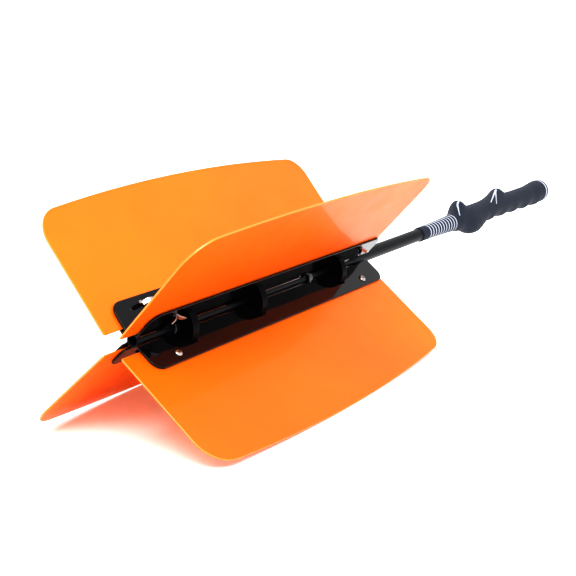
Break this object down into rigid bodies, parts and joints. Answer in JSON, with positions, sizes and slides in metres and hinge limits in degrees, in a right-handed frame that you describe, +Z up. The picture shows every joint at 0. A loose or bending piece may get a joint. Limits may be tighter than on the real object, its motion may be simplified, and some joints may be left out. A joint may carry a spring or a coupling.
{
  "type": "golf swing resistance fan",
  "caption": "Golf swing trainer: translucent orange sheet blades in a cross, hinged on a black shaft by gloss black plates, with a moulded rubber training grip.",
  "frame": {"origin": "centre of the bounding box at its base, on the floor under the shaft", "axes": "+X along the shaft from the blade end to the butt of the grip, +Z up, the blades standing as a cross around the shaft"},
  "size_m": [0.7402, 0.1684, 0.1586],
  "materials": {
    "blade": "translucent glossy orange sheet",
    "plate": "high gloss black moulding",
    "shaft": "satin black coated steel",
    "collar": "semi-gloss black",
    "steel": "bright nickel plate",
    "grip": "matte blue-black rubber with moulded relief",
    "mark": "matte cool white paint fill",
    "cap": "matte blue-black rubber"
  },
  "bodies": {
    "shaft_and_grip": {"Shaft": "shaft", "Collar_Near": "collar", "Collar_Far": "collar", "Collar_Lock": "collar", "Lock_Screw": "steel", "Grip_Body": "grip", "Grip_Mark_Fore": "mark", "Grip_Mark_Rear": "mark", "Cap_Ring": "mark", "Butt_Cap": "cap", "Grip_Ring_01": "mark", "Grip_Ring_02": "mark", "Grip_Ring_03": "mark", "Grip_Ring_04": "mark", "Grip_Ring_05": "mark", "Grip_Ring_06": "mark", "Grip_Ring_07": "mark", "Grip_Ring_08": "mark", "Grip_Ring_09": "mark", "Grip_Ring_10": "mark", "Grip_Ring_11": "mark"},
    "leaf_a": {"Leaf_A_Blade": "blade", "Leaf_A_Hinge_Plate": "plate", "Leaf_A_Backing_Plate": "plate", "Leaf_A_Rivet_Near": "steel", "Leaf_A_Rivet_Far": "steel"},
    "leaf_b": {"Leaf_B_Blade": "blade", "Leaf_B_Hinge_Plate": "plate", "Leaf_B_Backing_Plate": "plate", "Leaf_B_Rivet_Near": "steel", "Leaf_B_Rivet_Far": "steel"},
    "leaf_c": {"Leaf_C_Blade": "blade", "Leaf_C_Hinge_Plate": "plate", "Leaf_C_Backing_Plate": "plate", "Leaf_C_Rivet_Near": "steel", "Leaf_C_Rivet_Far": "steel"},
    "leaf_d": {"Leaf_D_Blade": "blade", "Leaf_D_Hinge_Plate": "plate", "Leaf_D_Backing_Plate": "plate", "Leaf_D_Rivet_Near": "steel", "Leaf_D_Rivet_Far": "steel"}
  },
  "joints": [
    {"name": "leaf_a_hinge", "type": "hinge", "parent": "shaft_and_grip", "child": "leaf_a", "pos_m": [0, 0, 0.07082], "axis": [1, 0, 0], "range_deg": [0, 16]},
    {"name": "leaf_b_hinge", "type": "hinge", "parent": "shaft_and_grip", "child": "leaf_b", "pos_m": [0, 0, 0.07082], "axis": [-1, 0, 0], "range_deg": [0, 23]},
    {"name": "leaf_c_hinge", "type": "hinge", "parent": "shaft_and_grip", "child": "leaf_c", "pos_m": [0, 0, 0.07082], "axis": [1, 0, 0], "range_deg": [0, 28]},
    {"name": "leaf_d_hinge", "type": "hinge", "parent": "shaft_and_grip", "child": "leaf_d", "pos_m": [0, 0, 0.07082], "axis": [-1, 0, 0], "range_deg": [0, 28]}
  ]
}
